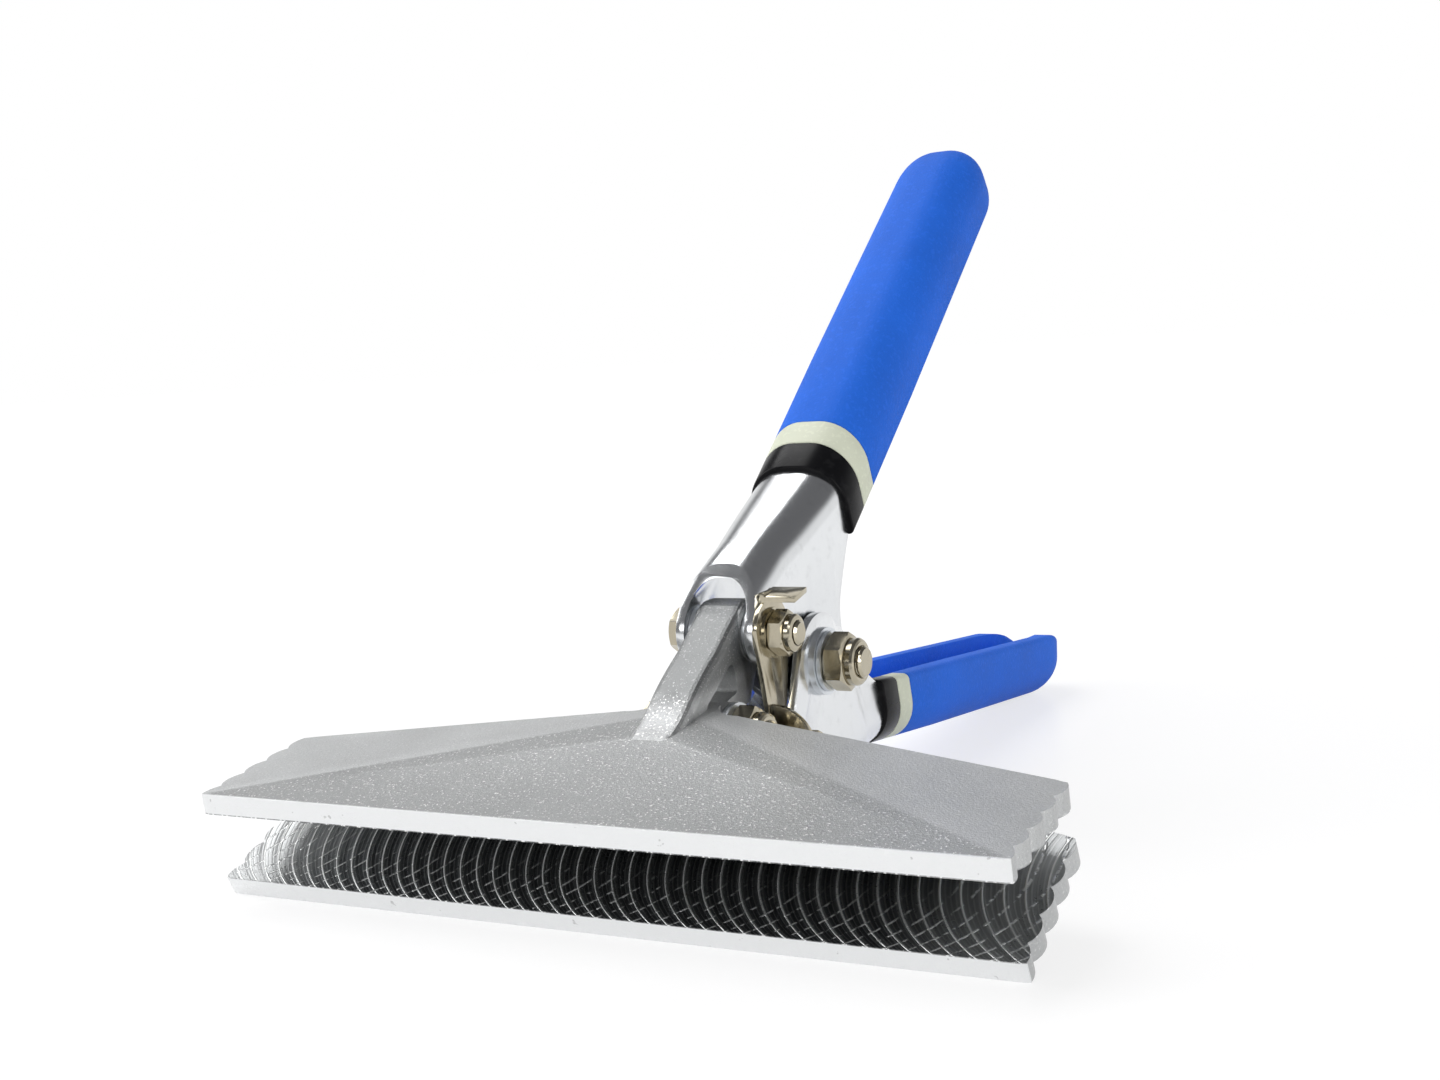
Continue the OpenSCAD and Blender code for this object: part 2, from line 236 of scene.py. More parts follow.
def twin(obj, name):
    copy = obj.copy()
    copy.data = obj.data.copy()
    copy.name = name
    copy.data.name = name
    bpy.context.scene.collection.objects.link(copy)
    return copy


def arc(centre, r, a0, a1, n):
    """points on an arc, angles in degrees"""
    return [(centre[0] + r * math.cos(math.radians(a0 + (a1 - a0) * i / n)),
             centre[1] + r * math.sin(math.radians(a0 + (a1 - a0) * i / n))) for i in range(n + 1)]


def eased_line(points, n=6):
    """a smooth curve through points"""
    pts = [Vector(p) for p in points]
    pts = [2 * pts[0] - pts[1]] + pts + [2 * pts[-1] - pts[-2]]
    out = []
    for p0, p1, p2, p3 in zip(pts, pts[1:], pts[2:], pts[3:]):
        for i in range(n):
            t = i / n
            out.append(tuple(0.5 * (2 * p1 + (p2 - p0) * t
                                    + (2 * p0 - 5 * p1 + 4 * p2 - p3) * t * t
                                    + (3 * p1 - p0 - 3 * p2 + p3) * t ** 3)))
    return out + [tuple(pts[-2])]


# ---- finishes ----
class Wire:
    """one output in a material; arithmetic on it adds the maths nodes"""

    def __init__(self, finish, socket):
        self.finish = finish
        self.socket = socket

    def math(self, operation, *others, clamp=False):
        node = self.finish.nodes.new("ShaderNodeMath")
        node.operation = operation
        node.use_clamp = clamp
        for spot, value in zip(node.inputs, others):
            self.finish.feed(spot, value)
        return Wire(self.finish, node.outputs[0])

    def __add__(self, other):
        return self.math("ADD", self, other)

    def __radd__(self, other):
        return self.math("ADD", other, self)

    def __sub__(self, other):
        return self.math("SUBTRACT", self, other)

    def __rsub__(self, other):
        return self.math("SUBTRACT", other, self)

    def __mul__(self, other):
        return self.math("MULTIPLY", self, other)

    def __rmul__(self, other):
        return self.math("MULTIPLY", other, self)

    def __truediv__(self, other):
        return self.math("DIVIDE", self, other)

    def __rtruediv__(self, other):
        return self.math("DIVIDE", other, self)

    def __pow__(self, other):
        return self.math("POWER", self, other)


class Finish:
    """a procedural finish on one shader, read from the piece's own coordinates"""

    def __init__(self, name, world=False):
        self.material = (bpy.data.worlds if world else bpy.data.materials).new(name)
        self.material.use_nodes = True
        self.nodes = self.material.node_tree.nodes
        self.shader = self.nodes["Background" if world else "Principled BSDF"]
        self.place = self.node("TexCoord", out="Generated" if world else "Object")

    def feed(self, spot, value):
        if isinstance(value, Wire):
            self.material.node_tree.links.new(value.socket, spot)
        else:
            spot.default_value = value

    def node(self, kind, out=0, settings=None, stops=None, **inputs):
        made = self.nodes.new("ShaderNode" + kind)
        for key, value in (settings or {}).items():
            setattr(made, key, value)
        if stops:
            ramp = made.color_ramp
            while len(ramp.elements) < len(stops):
                ramp.elements.new(0.5)
            for element, (at, colour) in zip(ramp.elements, stops):
                element.position = at
                element.color = (*colour, 1) if len(colour) == 3 else colour
        for key, value in inputs.items():
            names = [i for i in made.inputs if i.name.replace(" ", "_") == key and i.enabled]
            self.feed(names[0] if names else made.inputs[int(key[1:])], value)
        return Wire(self, made.outputs[out])

    def axes(self, vector):
        split = self.nodes.new("ShaderNodeSeparateXYZ")
        self.feed(split.inputs[0], vector)
        return [Wire(self, split.outputs[i]) for i in range(3)]

    def noise(self, scale, detail=2.0, rough=0.5, at=None):
        return self.node("TexNoise", Vector=at or self.place, Scale=scale, Detail=detail,
                         Roughness=rough)

    def ramp(self, fac, *stops):
        return self.node("ValToRGB", stops=stops, Fac=fac)

    def step(self, value, low, high):
        return self.node("MapRange", settings={"interpolation_type": "SMOOTHSTEP"},
                         Value=value, From_Min=low, From_Max=high)

    def blend(self, fac, a, b):
        made = self.nodes.new("ShaderNodeMix")
        made.data_type = "RGBA"
        self.feed(made.inputs[0], fac)
        for spot, value in ((made.inputs[6], a), (made.inputs[7], b)):
            self.feed(spot, value if isinstance(value, Wire) else (*value, 1))
        return Wire(self, made.outputs[2])

    def either(self, fac, a, b):
        """one vector or the other"""
        made = self.nodes.new("ShaderNodeMix")
        made.data_type = "VECTOR"
        for spot, value in ((0, fac), (4, a), (5, b)):
            self.feed(made.inputs[spot], value)
        return Wire(self, made.outputs[1])

    def bump(self, height, strength, distance, under=None):
        made = self.nodes.new("ShaderNodeBump")
        made.inputs["Strength"].default_value = strength
        made.inputs["Distance"].default_value = distance
        self.feed(made.inputs["Height"], height)
        if under:
            self.feed(made.inputs["Normal"], under)
        return Wire(self, made.outputs[0])

    def set(self, **values):
        for key, value in values.items():
            if isinstance(value, tuple) and len(value) == 3:
                value = (*value, 1)
            self.feed(self.shader.inputs[key.replace("_", " ")], value)
        return self.material


def blasted_casting(name, to_jaw):
    """blasted, plated casting with the gripping face left as the cutter made it; painted shade on the middle
    facet, the neck and the gripping face, painted glints, and a painted reflection at the gripping face's ends
    """
    f = Finish(name)
    jaw = f.node("Mapping", settings={"vector_type": "POINT"}, Vector=f.place,
                 Location=to_jaw.to_translation(), Rotation=to_jaw.to_euler())
    x, y, z = f.axes(jaw)
    side = x.math("ABSOLUTE", x)
    jaw_half, jaw_reach = JAW_HALF / 1000, JAW_REACH / 1000
    facet_slope = 0.5435
    cutter, cutter_at = 0.0335, 0.036
    feed, back_feed, hair_feed = 0.00225, 0.0022, 0.0006

    # blasted skin: painted glints, hard on the middle facet and softer on the outer facets, with fewer dark pits
    # there too, as the light falls differently on each facet
    corner = f.step(y + jaw_reach - (jaw_half - side) * facet_slope, -0.001, 0.001)
    # mask of the neck above 15 mm, where shade is painted below
    neck = f.step(z, 0.0105, 0.015)
    grain = f.noise(1700, 2, 0.7)
    fine = f.noise(4200, 2, 0.6)
    cloud = f.noise(45, 4, 0.6)
    painted_glint = f.step(grain, 0.60, 0.68) * (0.8 - corner * 0.55)
    pit = f.step(grain, 0.42, 0.34) * (1 - corner * 0.6)
    tone = f.ramp(cloud, (0.3, (0.46, 0.468, 0.47)), (0.7, (0.52, 0.528, 0.53)))
    # painted shade: the middle facet made darker than the outer facets, for how the light falls on it
    tone = f.blend((1 - corner) * 0.5, tone, (0.22, 0.224, 0.226))
    # painted shade: the neck made much darker
    tone = f.blend(neck * 0.76, tone, (0.10, 0.104, 0.104))
    # painted glints: the grain's brightest specks turned near white
    tone = f.blend(painted_glint, tone, (1.0, 1.0, 0.98))
    tone = f.blend(pit * 0.5, tone, (0.24, 0.245, 0.25))

    # front face: ground bright, with a few small dents
    ground = f.step(y, -0.0633, -0.0638)
    dent = f.step(f.noise(420, 2), 0.70, 0.74)
    tone = f.blend(ground, tone, f.blend(dent * 0.6, (0.84, 0.85, 0.855), (0.45, 0.45, 0.45)))
    skin = f.bump(grain * 0.8 + fine * 0.3, 0.45, 0.0004)

    # gripping face: two passes of a face mill, the second crossing the first at the front
    face = f.step(z.math("ABSOLUTE", z), 0.0004, 0.0002)
    depth = y + cutter_at
    reach = cutter ** 2 - depth * depth
    sweep = reach.math("SQRT", reach.math("MAXIMUM", reach, 0.0))
    wobble = f.noise(40, 1) * 0.0004
    lead = x - sweep + wobble
    trail = x + sweep * 0.97 + wobble
    near = lead.math("PINGPONG", lead, feed) / feed
    far = trail.math("PINGPONG", trail, back_feed) / back_feed
    inner = lead.math("PINGPONG", lead, hair_feed) / hair_feed
    front = f.step(y, -0.046, -0.058)
    end = f.step(side, 0.066, 0.092)
    crossing = front.math("MAXIMUM", front, end * 0.8)
    patch = f.step(f.noise(700, 2), 0.42, 0.60)
    ridge = (1 - f.step(near, 0.02, 0.16)) * 0.85
    burr = (1 - f.step(far, 0.04, 0.22)) * crossing * patch
    hair = (1 - f.step(inner, 0.1, 0.5)) * 0.12
    mark = ridge + burr + hair
    mark = mark.math("MINIMUM", mark, 1.0)
    # painted shade: the gripping face kept dark for the shade of the other jaw across the gap, its milling marks
    # lighter on it
    milled_with_painted_shade = f.ramp(near, (0.1, (0.20, 0.21, 0.215)), (0.75, (0.075, 0.08, 0.085)))
    # painted reflection: the gripping face lighter towards its two ends
    milled_with_painted_shade = f.blend(end * 0.6, milled_with_painted_shade, (0.50, 0.51, 0.51))
    milled_with_painted_shade = f.blend(mark, milled_with_painted_shade, (0.90, 0.91, 0.90))
    tone = f.blend(face, tone, milled_with_painted_shade)
    cut_skin = f.bump(mark + near * -0.5, 0.6, 0.0004)

    rough = f.node("MapRange", Value=cloud, From_Min=0.1, From_Max=0.9, To_Min=0.38, To_Max=0.48)
    return f.set(Base_Color=tone, Metallic=0.9, Roughness=rough - painted_glint * 0.12 - face * 0.12,
                 Normal=f.either(face, skin, cut_skin))


def plated(name, colour, rough, streak=0.06, bumpy=0.03):
    """bright plate: soft clouding, hair scratches and a slightly uneven sheet under it"""
    f = Finish(name)
    wave = f.noise(70, 2)
    hair = f.noise(900, 2, at=f.node("Mapping", Vector=f.place, Scale=(1.0, 0.06, 0.3)))
    stain = f.noise(260, 4, 0.7)
    tone = f.blend(f.step(stain, 0.5, 0.78) * 0.35, colour, tuple(0.72 * c for c in colour))
    return f.set(Base_Color=tone, Metallic=1.0,
                 Roughness=rough + stain * streak + hair * streak * 0.5,
                 Normal=f.bump(hair, 0.05, 0.0002, f.bump(wave, bumpy, 0.004)))


def moulded(name, colour, rough, grain_scale, grain_strength, shine=0.5):
    """moulded rubber or plastic with its own grain"""
    f = Finish(name)
    grain = f.noise(grain_scale, 3, 0.65)
    cloud = f.noise(38, 3)
    speck = f.step(f.noise(grain_scale * 0.55, 2), 0.54, 0.66)
    dark = tuple(0.82 * c for c in colour)
    pale = tuple(min(1.0, 1.1 * c + 0.012) for c in colour)
    tone = f.blend(speck * 0.35, f.ramp(cloud, (0.3, dark), (0.75, colour)), pale)
    return f.set(Base_Color=tone, Roughness=rough + cloud * 0.1, Specular_IOR_Level=shine,
                 Normal=f.bump(grain, grain_strength, 0.0004))


# ---- jaws ----
def jaw_plate(name):
    """the wide plate: five scallops on each end, the top sloping down to three sides"""
    half_pitch = SCALLOP_PITCH / 2
    r = (half_pitch ** 2 + SCALLOP_DEPTH ** 2) / (2 * SCALLOP_DEPTH)
    swing = math.degrees(math.asin(half_pitch / r))
    side = [(JAW_HALF - SCALLOP_DEPTH, -JAW_REACH)]
    side += arc((JAW_HALF - r, FIRST_SCALLOP), r, -swing * 0.28, swing, 4)
    for lobe in (1, 2, 3):
        side += arc((JAW_HALF - r, FIRST_SCALLOP + SCALLOP_PITCH * lobe), r, -swing, swing, 7)[1:]
    side += arc((JAW_HALF - r, FIRST_SCALLOP + SCALLOP_PITCH * 4), r, -swing, swing * 0.72, 6)[1:]
    side += [(97.9, -27.2), (96.6, -26.7)]
    rear = [(20, -10.05), (16.5, -9.3)] + arc((14.25, -2.6), 6.4, -82, -172, 8) + [(6.0, -2.0)]
    half = side + rear
    plate = outline(name, [(x, y, 0.05) for x, y in half]
                    + [(-x, y, 0.05) for x, y in reversed(half)])
    pull((0, 0, 11))
    outward()
    take(plate)
    bpy.ops.object.mode_set(mode="EDIT")
    rise, fall = math.atan(4 / 50), math.atan(4 / 92)
    slopes = (((0, -JAW_REACH, PLATE_EDGE), (0, -math.sin(rise), math.cos(rise))),
              ((JAW_HALF, 0, PLATE_EDGE), (math.sin(fall), 0, math.cos(fall))),
              ((-JAW_HALF, 0, PLATE_EDGE), (-math.sin(fall), 0, math.cos(fall))))
    for spot, lean in slopes:
        bpy.ops.mesh.select_all(action="SELECT")
        bpy.ops.mesh.bisect(plane_co=spot, plane_no=lean, use_fill=True, clear_outer=True)
    outward()
    return plate


def jaw_neck():
    """the arm behind the plate, its long edges rounded and a window through it"""
    neck_side = (arc(TAIL_BOSS, 8.2, 112, -62, 12) + [(21.5, 10.6), (15.5, 3.2)]
                 + arc((8.8, 4.8), 3.1, -20, -95, 4)
                 + [(-3, 0.5), (-8.5, 0.5), (-27, 0.5), (-27.5, 7.0)]
                 + eased_line([(-24.5, 8.2), (-19, 9.7), (-14.5, 11.9), (-9, 15.0), (-3, 17.8),
                               (4, 20.6), (11, 24.2), (15.5, 26.2)], 3))
    neck = slab("neck", neck_side, -NECK_HALF, NECK_HALF)
    take(neck)
    bpy.ops.object.mode_set(mode="EDIT")
    bpy.ops.mesh.select_all(action="DESELECT")
    bpy.ops.mesh.select_mode(type="EDGE")
    hands_off()
    take(neck)
    for edge in neck.data.edges:
        a, b = (neck.data.vertices[i].co for i in edge.vertices)
        spot = neck.matrix_world @ ((a + b) / 2)
        on_side = abs(abs(spot.x) - NECK_HALF) < 0.01 and abs(a.x - b.x) < 0.01
        if on_side and spot.z > 5.6 and spot.y > -28:
            edge.select = True
    bpy.ops.object.mode_set(mode="EDIT")
    bpy.ops.mesh.bevel(offset=2.2, segments=4, affect="EDGES")
    outward()
    window = (arc((-5.4, 8.7), 1.5, 268, 118, 6) + arc((6.4, 13.4), 1.9, 112, -8, 8)
              + arc((7.0, 9.4), 1.6, 0, -88, 5))
    return cut(neck, slab("window", window, -9, 9))


def jaw_casting(name):
    """one jaw, closed face down: plate, neck, lapped pivot lug and tail boss"""
    jaw = add(jaw_plate(name), jaw_neck())
    cut(jaw, rod("lap_seat", (0, 0), 8.4, -THROUGH, RUN_FIT))
    hands_off()
    bpy.ops.mesh.primitive_cube_add(size=1, location=(-10, 6, -9.75))
    block = called("lap_block")
    block.scale = (20.1, 29.4, 20.4)
    cut(jaw, block)
    add(jaw, rod("lug", (0, 0), LUG_R, RUN_FIT, LUG_R))
    boss = [(-6.5, 0), (-6.5, 7), (-5.9, 7.65), (5.9, 7.65), (6.5, 7), (6.5, 0)]
    add(jaw, turned("boss", boss, TAIL_BOSS))
    cut(jaw, rod("pivot_bore", (0, 0), PIVOT_R + RUN_FIT, -THROUGH, THROUGH, 48))
    cut(jaw, rod("link_bore", TAIL_BOSS, LINK_R + RUN_FIT, -THROUGH, THROUGH, 48))
    return eased(jaw, 0.45, 2, 28)


# ---- channels ----
def channel_section(width, r):
    half = width / 2
    return ([(half, -62)] + arc((half - r, -r), r, 0, 90, 8)
            + arc((r - half, -r), r, 90, 180, 8) + [(-half, -62)])


def channel_solid(name, widths, thin, r, stations):
    """the channel's outside or inside as one drawn-out solid"""
    (y, z), lean = stations[0]
    wide = widths[0] - 2 * thin
    obj = outline(name, [(x, y + h * math.sin(lean), z + h * math.cos(lean))
                         for x, h in channel_section(wide, r)])
    here = Vector((y, z))
    for (spot, slope), width in zip(stations[1:], widths[1:]):
        step = Vector(spot) - here
        pull((0, step.x, step.y))
        if slope != lean:
            turn_about((0, *spot), slope - lean)
        new = width - 2 * thin
        if new != wide:
            bpy.ops.transform.resize(value=(new / wide, 1, 1), center_override=(0, *spot))
        here, lean, wide = Vector(spot), slope, new
    outward()
    return obj


def turn_about(centre, angle):
    """the view turns backwards with no window, so the angle is given the other way"""
    bpy.ops.transform.rotate(value=-angle, orient_axis="X", center_override=centre)


def channel_back(y, off):
    """a place on the sloping back of a channel, off in from its outside"""
    return (y + off * math.sin(BACK_SLOPE),
            32.6 + (y - 25) * math.tan(BACK_SLOPE) - off * math.cos(BACK_SLOPE))


def channel_stations(flare_y, off):
    """places and slopes along the back, from the link's end to the tang's end"""
    def lifted(y, rise):
        spot = channel_back(y, off)
        return (spot[0], spot[1] + rise)

    tang_end = 122 if off else 118
    return [(channel_back(4, off), BACK_SLOPE), (channel_back(flare_y, off), BACK_SLOPE),
            (channel_back((flare_y + 62) / 2, off), BACK_SLOPE),
            (channel_back(62, off), BACK_SLOPE * 1.05),
            (lifted(66, 0.05), BACK_SLOPE * 1.25), (lifted(70, 0.25), BACK_SLOPE * 1.7),
            (tuple(grip_point(12, TANG_TOP - off)), GRIP_SLOPE),
            (tuple(grip_point(tang_end, TANG_TOP - off)), GRIP_SLOPE)]


def handle_channel(name, width, flare_y, gap):
    """one handle of pressed sheet: rounded back, two ears, a flare and the tang"""
    widths = [width + (TANG_WIDTH - width) * s for s in (0, 0, 0.5, 0.86, 0.95, 0.99, 1, 1)]
    body = channel_solid(name, widths, 0, 9, channel_stations(flare_y, 0))
    cut(body, channel_solid("inside", widths, SHEET, 6.8, channel_stations(flare_y, SHEET)))
    run = HEEL - LINK
    front = math.degrees(math.atan2(run.y, run.x) - math.acos((EAR_R - HEEL_R) / HANDLE_SPAN))
    throat = eased_line([(56.38, 2.4), (57.9, 7.4), (62, 13.2), (67.4, 19.6), (72, 24.2)], 5)
    side = ([(53, 60.5)] + arc(LINK, EAR_R, 128, 360 + front, 12)
            + arc(HEEL, HEEL_R, front, -19.7, 16) + arc((49, 3), 7.4, -74, -6, 8)
            + throat + [tuple(grip_point(s, h)) for s, h in ((60, 2), (117, 2), (117, 40))])
    keep(body, slab("side_cut", side, -THROUGH, THROUGH))
    cut(body, rod("heel_bore", HEEL, PIVOT_R + gap, -THROUGH, THROUGH, 48))
    cut(body, rod("link_bore", LINK, LINK_R + RUN_FIT, -THROUGH, THROUGH, 48))
    return eased(body, 0.4, 2, 36)


# ---- grips ----
def grip_section(w, d, h0):
    """the outside of a grip across its length: round back, eased lower edges"""
    r = 0.86 * min(w / 2 - 0.5, d - 2)
    half = w / 2
    return ([(half - 1.6, h0)] + arc((half - 1.6, h0 + 1.6), 1.6, -70, 0, 3)
            + arc((half - r, h0 + d - r), r, 0, 90, 12)
            + arc((r - half, h0 + d - r), r, 90, 180, 12)
            + arc((1.6 - half, h0 + 1.6), 1.6, 180, 250, 3) + [(1.6 - half, h0)])


def grip_form(name):
    """the whole grip, drawn out along its own axis from the collar to the rounded tip"""
    rows = [(-9, 0, 28.3, 18.9), (20, -0.1, 28.6, 19.3), (55, -0.25, 28.9, 19.9),
            (100, -0.2, 28.5, 20.0)]
    tip_start, tip_length = 139, 18.4
    for turn in (0, 7, 14, 21, 28, 35, 42, 49, 56, 63, 70, 76, 82, 86):
        full = math.cos(math.radians(turn))
        rows.append((tip_start + tip_length * math.sin(math.radians(turn)),
                     9 - 9.2 * full, 28.2 * full ** 0.72, 20.1 * full))
    s, h0, w, d = rows[0]
    obj = outline(name, [(x, s, z) for x, z in grip_section(w, d, h0)])
    for s1, h1, w1, d1 in rows[1:]:
        pull((0, s1 - s, 0))
        bpy.ops.transform.resize(value=(w1 / w, 1, d1 / d), center_override=(0, s1, h0))
        bpy.ops.transform.translate(value=(0, 0, h1 - h0))
        s, h0, w, d = s1, h1, w1, d1
    outward()

    # the open side: a groove that narrows and runs out through the rounded end
    hollow = ([(9, -30)] + arc((2.0, 6.4), 7, 0, 90, 8) + arc((-2.0, 6.4), 7, 90, 180, 8)
              + [(-9, -30)])
    groove = outline("groove", [(x, -20, z) for x, z in hollow])
    pull((0, 150, 0))
    for narrower, along, drop in ((0.86, 139, -3.5), (0.8, 148, -4.5)):
        pull((0, 9, 0))
        bpy.ops.transform.resize(value=(narrower, 1, 1), center_override=(0, along, 0))
        bpy.ops.transform.translate(value=(0, 0, drop))
    pull((0, 20, 0))
    outward()
    return cut(obj, groove)


def grip_length(whole, name, s0, s1):
    """the length of a grip from s0 to s1, sliced nearly upright"""
    part = twin(whole, name)
    take(part)
    bpy.ops.object.mode_set(mode="EDIT")
    lean = GRIP_SLOPE - math.radians(4)
    for s, way in ((s0, -1), (s1, 1)):
        if s is None:
            continue
        bpy.ops.mesh.select_all(action="SELECT")
        at = (0, (s + 0.5) * math.cos(GRIP_SLOPE), -(s + 0.5) * math.sin(GRIP_SLOPE))
        facing = (0, way * math.cos(lean), -way * math.sin(lean))
        bpy.ops.mesh.bisect(plane_co=at, plane_no=facing, use_fill=True, clear_outer=True)
    outward()
    return part


GRIP_PLACE = Matrix.Translation((0, *COLLAR_AT)) @ Matrix.Rotation(GRIP_SLOPE, 4, "X")


# ---- fasteners ----
def hexagon(name, centre, flats, x0, x1):
    r = flats / math.sqrt(3)
    corners = [(centre[0] + r * math.cos(math.radians(12 + 60 * k)),
                centre[1] + r * math.sin(math.radians(12 + 60 * k))) for k in range(6)]
    return slab(name, corners, x0, x1)


def chamfered_hexagon(name, centre, flats, x0, x1, ends=(1, 1)):
    """a hexagon with its corners turned off at the ends marked 1"""
    big, small = flats / math.sqrt(3) + 0.01, flats * 0.478
    slant = (big - small) * 0.5
    profile = [(x0, 0), (x0, small if ends[0] else big), (x0 + slant * ends[0], big),
               (x1 - slant * ends[1], big), (x1, small if ends[1] else big), (x1, 0)]
    barrel = [p for i, p in enumerate(profile) if i == 0 or p != profile[i - 1]]
    return keep(hexagon(name, centre, flats, x0 - 1, x1 + 1), turned("barrel", barrel, centre, 96))


def lock_nut(name, centre, r, flats, height, x0):
    """hexagon, a crown over it and a seat inside for the ring; profiles in nut heights"""
    nut = chamfered_hexagon(name, centre, flats, x0, x0 + 0.66 * height)
    lip = flats * 0.46
    crown = [(0.55, 0), (0.55, lip - 0.3), (0.68, lip - 0.3), (0.72, lip), (0.88, lip),
             (0.96, lip - 0.4), (1, lip - 0.95), (1, r + 0.2), (0.95, r + 0.2), (0.95, 0)]
    add(nut, turned("crown", [(x0 + up * height, out) for up, out in crown], centre))
    seat = [(0.62, r + 0.03), (0.62, r + 1.0), (0.9, r + 1.0), (0.9, r + 0.12)]
    cut(nut, turned("seat", [(x0 - 1, 0), (x0 - 1, r + 0.03)]
                    + [(x0 + up * height, out) for up, out in seat]
                    + [(x0 + height + 1, r + 0.12), (x0 + height + 1, 0)], centre))
    return eased(nut, 0.14, 2, 24)


def hex_bolt(name, centre, r, flats, head, x0, x1):
    """head, plain shank and the few turns of thread that show past the nut"""
    bolt = chamfered_hexagon(name, centre, flats, x0 - head, x0, (1, 0))
    thread = []
    pitch = 1.0 if r < 3.5 else 1.25
    x = x1 - 0.7 - 4 * pitch
    while x < x1 - 0.8:
        thread += [(x, r), (x + pitch * 0.5, r - 0.42), (x + pitch * 0.92, r)]
        x += pitch
    add(bolt, turned("shank", [(x0 - 0.5, 0), (x0 - 0.5, r)] + thread
                     + [(x1 - 0.55, r), (x1, r - 0.6), (x1, 0)], centre, 48))
    return eased(bolt, 0.12, 2, 24)


# ---- latch and spring ----
def latch_plate(name):
    """eye on the link bolt, long finger, folded tab at the top and folded thumb flange below"""
    eye, tip, reach = 8.6, 3.1, 30.0
    lean = math.degrees(math.asin((eye - tip) / reach))
    side = (arc((0, 0), eye, lean, 180 - lean, 18)
            + arc((0, -reach), tip, 180 - lean, 360 + lean, 12))
    plate = slab(name, side, LATCH_IN, LATCH_OUT)
    add(plate, slab("tab", [(-3.4, 5), (3.4, 5), (3.4, 10.2), (-3.4, 10.2)], LATCH_IN, LATCH_OUT))
    add(plate, slab("fold", [(-3.4, 7.9), (3.2, 9.3), (3.4, 10.6), (-3.4, 9.2)], 10.8, 20))
    thumb = ([(LATCH_IN, -28), (23.2, -28)] + arc((12, -28.2), 11.3, 2, 82, 14)
             + [(11.6, -17.0), (LATCH_IN, -17.0)])
    wing = outline("wing", [(x, -4.6, z) for x, z in thumb])
    pull((0, 1.6, 0))
    outward()
    add(plate, wing)
    cut(plate, rod("eye_bore", (0, 0), LINK_R + RUN_FIT, 5, THROUGH, 48))
    return eased(plate, 0.28, 2, 30)


def torsion_spring(name):
    """coils round the bush with a leg into each handle, the upper one kept short: it
    stays with the lower handle while the upper one closes over it"""
    coil, wire, half_long = 7.3, 1.0, 4.0
    foot = Vector((18, 33.6))
    start = math.atan2(foot.y, foot.x) + math.acos(coil / foot.length)
    leg = math.sqrt(foot.length ** 2 - coil ** 2)

    def leg_end(turn, way, long):
        along = turn + way * math.pi / 2
        return (coil * math.cos(turn) + long * math.cos(along),
                coil * math.sin(turn) + long * math.sin(along))

    path = [(half_long, *leg_end(start, -1, leg - 7.0))]
    sweep = (-2 * start) % (2 * math.pi) + 2 * math.pi * 4
    steps = 120
    for i in range(steps + 1):
        a = start + sweep * i / steps
        path.append((half_long - 2 * half_long * i / steps, coil * math.cos(a), coil * math.sin(a)))
    path.append((-half_long, *leg_end(-start, 1, leg - 0.6)))
    wire_line = bpy.data.curves.new(name, "CURVE")
    wire_line.dimensions = "3D"
    spline = wire_line.splines.new("POLY")
    spline.points.add(len(path) - 1)
    for point, spot in zip(spline.points, path):
        point.co = (spot[0], spot[1] + HEEL.x, spot[2], 1)
    wire_line.bevel_depth = wire * 0.97
    wire_line.bevel_resolution = 4
    wire_line.use_fill_caps = True
    obj = bpy.data.objects.new(name, wire_line)
    bpy.context.scene.collection.objects.link(obj)
    take(obj)
    bpy.ops.object.convert(target="MESH")
    return bpy.context.active_object


# ---- finishes of this tool ----
METRES = Matrix.Scale(1000, 4)
upper_cast = blasted_casting("blasted_casting_upper", (STAND @ UPPER_JAW @ METRES).inverted())
lower_cast = blasted_casting("blasted_casting_lower", (STAND @ LOWER_JAW @ METRES).inverted())
chrome = plated("bright_chrome", (0.76, 0.775, 0.79), 0.13, 0.10)
nickel = plated("warm_nickel", (0.46, 0.42, 0.325), 0.10, 0.10, 0.02)
zinc = plated("zinc_plate", (0.70, 0.73, 0.76), 0.24, 0.14, 0.02)
wire_steel = plated("oiled_spring_wire", (0.30, 0.30, 0.31), 0.30, 0.14, 0.02)
nylon = moulded("natural_nylon", (0.62, 0.64, 0.58), 0.42, 1800, 0.05)
black = moulded("black_collar_gloss", (0.006, 0.006, 0.007), 0.22, 700, 0.02, 0.08)
cream = moulded("cream_rubber", (0.68, 0.71, 0.57), 0.42, 1500, 0.06, 0.25)
blue = moulded("blue_soft_grip", (0.014, 0.142, 0.735), 0.6, 1500, 0.5, 0.2)

BODY_OF = {node: body for body, nodes in frame["record"]["behaviour"]["bodies"].items()
           for node in nodes}


def fitted(piece, node, material):
    """a finished piece in its material, riding its node's body in that node's place"""
    piece.data.materials.clear()
    piece.data.materials.append(material)
    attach(piece, BODY_OF[node])
    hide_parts(node)


# ---- the pieces ----
KEPT_FACE = 5e-5
top_jaw = jaw_casting("top_jaw")
bottom_jaw = twin(top_jaw, "bottom_jaw")
for jaw, place, node, material in ((top_jaw, UPPER_JAW, "upper_jaw", upper_cast),
                                   (bottom_jaw, LOWER_JAW, "lower_jaw", lower_cast)):
    fitted(facets_kept(settled(jaw, place, 24), KEPT_FACE), node, material)

fitted(settled(handle_channel("top_channel", UPPER_WIDTH, 38, SLIP_FIT)),
       "upper_handle", chrome)
fitted(settled(handle_channel("bottom_channel", LOWER_WIDTH, 56, RUN_FIT), MIRRORED),
       "lower_handle", chrome)

